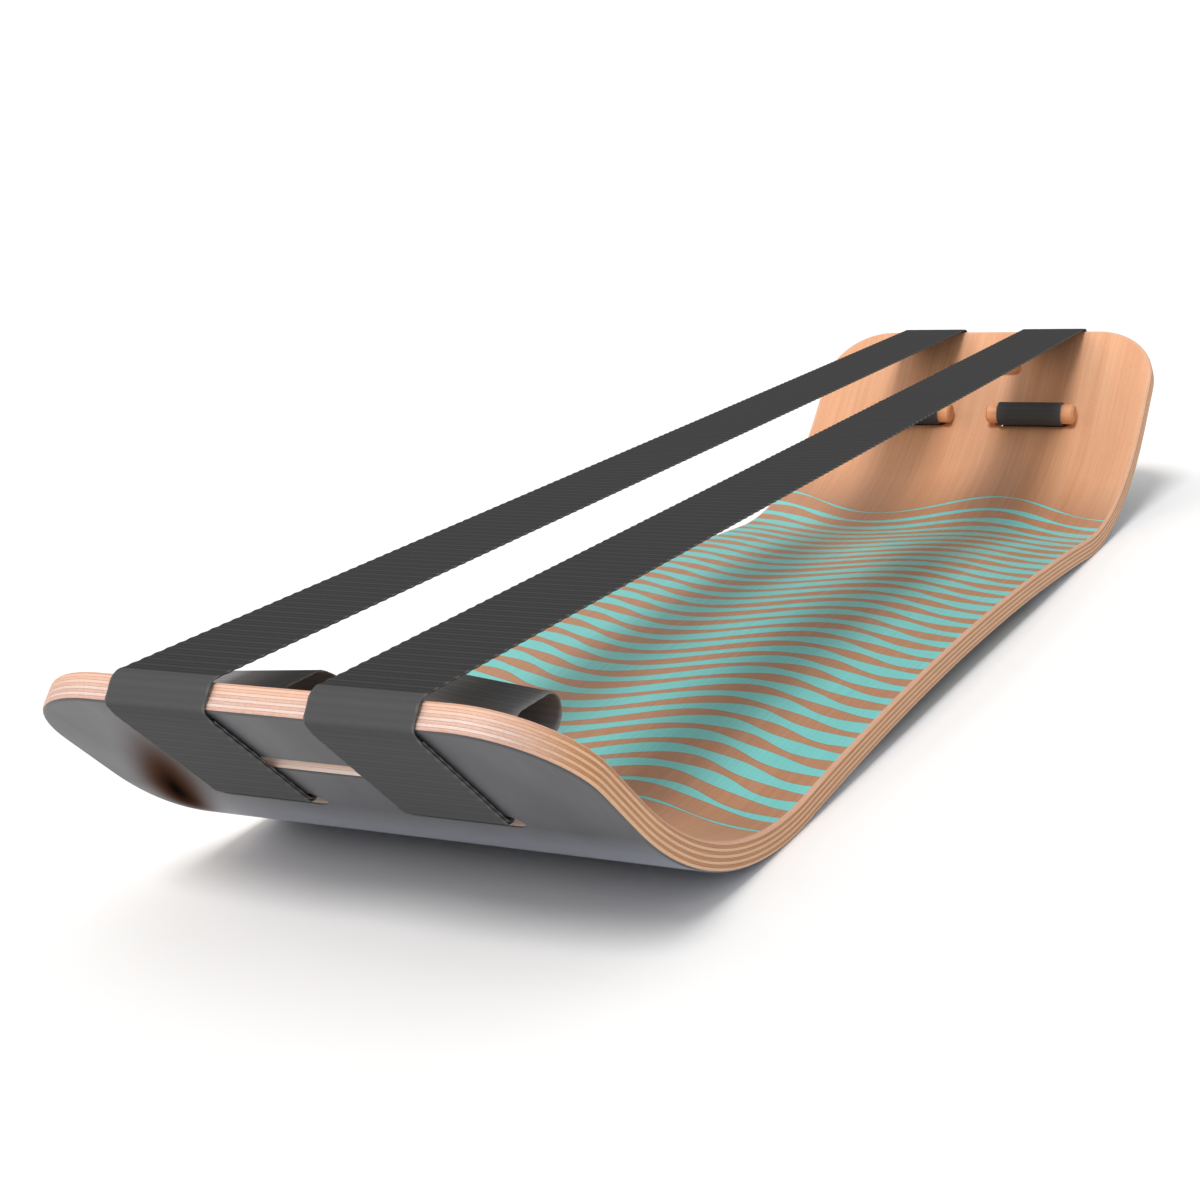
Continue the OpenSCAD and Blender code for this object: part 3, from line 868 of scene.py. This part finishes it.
# The board
edge_long = ply_edge("beech_edge_long_grain", "#ebc198", "#d9a77a", "#cdb0a2", "#b88c7b")
edge_cross = ply_edge("beech_edge_cross_grain", "#c98b58", "#a66d42", "#d6c4bc", "#c9ada1")
wall = slot_wall()
film = slate_film()
LAYERS = [("face_veneer", "beech_face")]
for n in range(2, VENEER_COUNT):
    LAYERS.append((f"veneer_{n}", "beech_long_grain" if n % 2 else "beech_cross_grain"))
LAYERS.append(("back_veneer", "beech_long_grain"))
LAYER_LOOKS = {
    "beech_face": [printed_beech(), edge_long, wall],
    "beech_long_grain": [edge_long, edge_long, wall],
    "beech_cross_grain": [edge_cross, edge_cross, wall],
}
made_layers = []
for number, (node, slot) in enumerate(LAYERS):
    top = number * VENEER_PITCH
    made = board_layer(f"{node}_wood", top, top + VENEER_THICKNESS, LAYER_LOOKS[slot])
    made_layers.append((made, node, slot))
film_piece = board_layer("underside_film_sheet", FILM_TOP, BOARD_THICKNESS, [film, film, film])
made_layers.append((film_piece, "underside_film", "slate_film"))
for made, node, slot in made_layers:
    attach(made, "board")
    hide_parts(node)

# The straps, each one strip from its front tail to its back tail
front_way = [at_end(p.x, p.y, -1) for p in end_way()]
back_way = [at_end(p.x, p.y, 1) for p in reversed(end_way())]
strap_way = front_way + back_way
strap_middle = way_length(strap_way) / 2
strap_fold = way_length(front_way)
open_span = strap_fold, 2 * strap_middle - strap_fold
strap_look = webbing("charcoal_polyester_webbing", strap_middle, strap_fold, "#474748", "#4a4a4b")
# The spare loops get a paler copy of the webbing: painted light against the shade of the strap above them
lit_loop_look = webbing("loop_webbing_painted_light", strap_middle, strap_fold, "#7e7e7f", "#888889")
# Each side's place, and the tilt and lean of its spare loop. The left loop has slumped towards the end edge
LOOP_LAY = (
    ("left", STRAP_SIDE, -0.08, (10 * MM, 12 * MM)),
    ("right", -STRAP_SIDE, 0.11, (0.0, 0.0)),
)
for word, side, tilt, lean in LOOP_LAY:
    strip, length = webbing_strip(f"webbing_{word}", strap_way, side, strap_look, open_span)
    loop_name = f"webbing_{word}_spare_loop"
    spare, spare_length = webbing_strip(
        loop_name, spare_way(), side, lit_loop_look, closed=True, tilt=tilt, lean=lean
    )
    for made, made_length in ((strip, length), (spare, spare_length)):
        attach(made, "board")
    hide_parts(f"strap_{word}")

# The dowels
dowel_look = dowel_beech()
for node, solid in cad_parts.items():
    if node.endswith("_dowel"):
        solid.data.materials.clear()
        solid.data.materials.append(dowel_look)

# The floor
FLOOR_HALF = 30.0
FLOOR_CLOUD = 0.6
floor_mesh = bpy.data.meshes.new("studio_floor")
floor_corners = [(FLOOR_HALF * x, FLOOR_HALF * y, 0.0) for x, y in ((-1, -1), (1, -1), (1, 1), (-1, 1))]
floor_mesh.from_pydata(floor_corners, [], [(0, 1, 2, 3)])
floor = bpy.data.objects.new("studio_floor", floor_mesh)
bpy.context.scene.collection.objects.link(floor)
floor_paint, floor_tree, floor_shader = blank("white_studio_paint")
floor_cloud = streaks(floor_tree, add(floor_tree, "TexCoord", out="Object"), FLOOR_CLOUD, FLOOR_CLOUD)
floor_tones = {FACTOR: floor_cloud, UNDER: colour("#f6f6f6"), OVER: colour("#f9f9f9")}
floor_base = add(floor_tree, "Mix", floor_tones, MIXED, data_type="RGBA")
floor_tree.links.new(floor_base, floor_shader.inputs["Base Color"])
floor_shader.inputs["Roughness"].default_value = 0.7
floor_mesh.materials.append(floor_paint)

# Soft studio light
scene = bpy.context.scene
scene.view_settings.view_transform = "Standard"
world = bpy.data.worlds.new("studio_white")
world.use_nodes = True
# The studio is darker towards its walls, and the camera sees a white background
SKY_LOW = 0.08
SKY_HIGH = 0.72
SKY_TOP = 0.7
SKY_SEEN = 1.05
sky = world.node_tree
height = add(sky, "SeparateXYZ", {0: add(sky, "TexCoord", out="Generated")}, "Z")
sky_light = add(
    sky, "MapRange", {"Value": height, "From Max": SKY_TOP, "To Min": SKY_LOW, "To Max": SKY_HIGH}
)
seen = add(sky, "LightPath", out="Is Camera Ray")
sky_strength = add(sky, "MapRange", {"Value": seen, "To Min": sky_light, "To Max": SKY_SEEN})
sky.links.new(sky_strength, sky.nodes["Background"].inputs["Strength"])
sky.nodes["Background"].inputs["Color"].default_value = colour("#ffffff")
scene.world = world
# Each light's colour and strength, and its softness, height and turn from the board's front in degrees
LAMPS = (
    ("key_light", "#ffffff", 1.9, 16, 52, 0),
    ("fill_light", "#fff1e4", 0.95, 45, 37, -50),
)
for name, tint, energy, softness, lamp_height, turn in LAMPS:
    lamp = bpy.data.lights.new(name, "SUN")
    lamp.color = colour(tint)[:3]
    lamp.energy = energy
    lamp.angle = math.radians(softness)
    lamp_object = bpy.data.objects.new(name, lamp)
    lamp_object.rotation_euler = (0.0, math.radians(lamp_height - 90), math.radians(turn))
    scene.collection.objects.link(lamp_object)

# The camera, at the photograph's angle
CAMERA_PLACE = (-1.12078, -0.48051, 0.35022)
CAMERA_RIGHT = Vector((0.45050451, -0.89011814, -0.06881408))
CAMERA_DOWN = Vector((-0.25087891, -0.05224685, -0.96660749))
FOCAL_PIXELS = 2068.51
PICTURE_PIXELS = 1200
lens = bpy.data.cameras.new("photo_camera")
lens.sensor_width = 36.0
lens.lens = FOCAL_PIXELS / PICTURE_PIXELS * lens.sensor_width
lens.clip_end = 200.0
camera = bpy.data.objects.new("photo_camera", lens)
camera_back = CAMERA_RIGHT.cross(-CAMERA_DOWN)
camera_axes = Matrix((CAMERA_RIGHT, -CAMERA_DOWN, camera_back)).transposed()
camera.matrix_world = Matrix.Translation(CAMERA_PLACE) @ camera_axes.to_4x4()
scene.collection.objects.link(camera)
scene.camera = camera
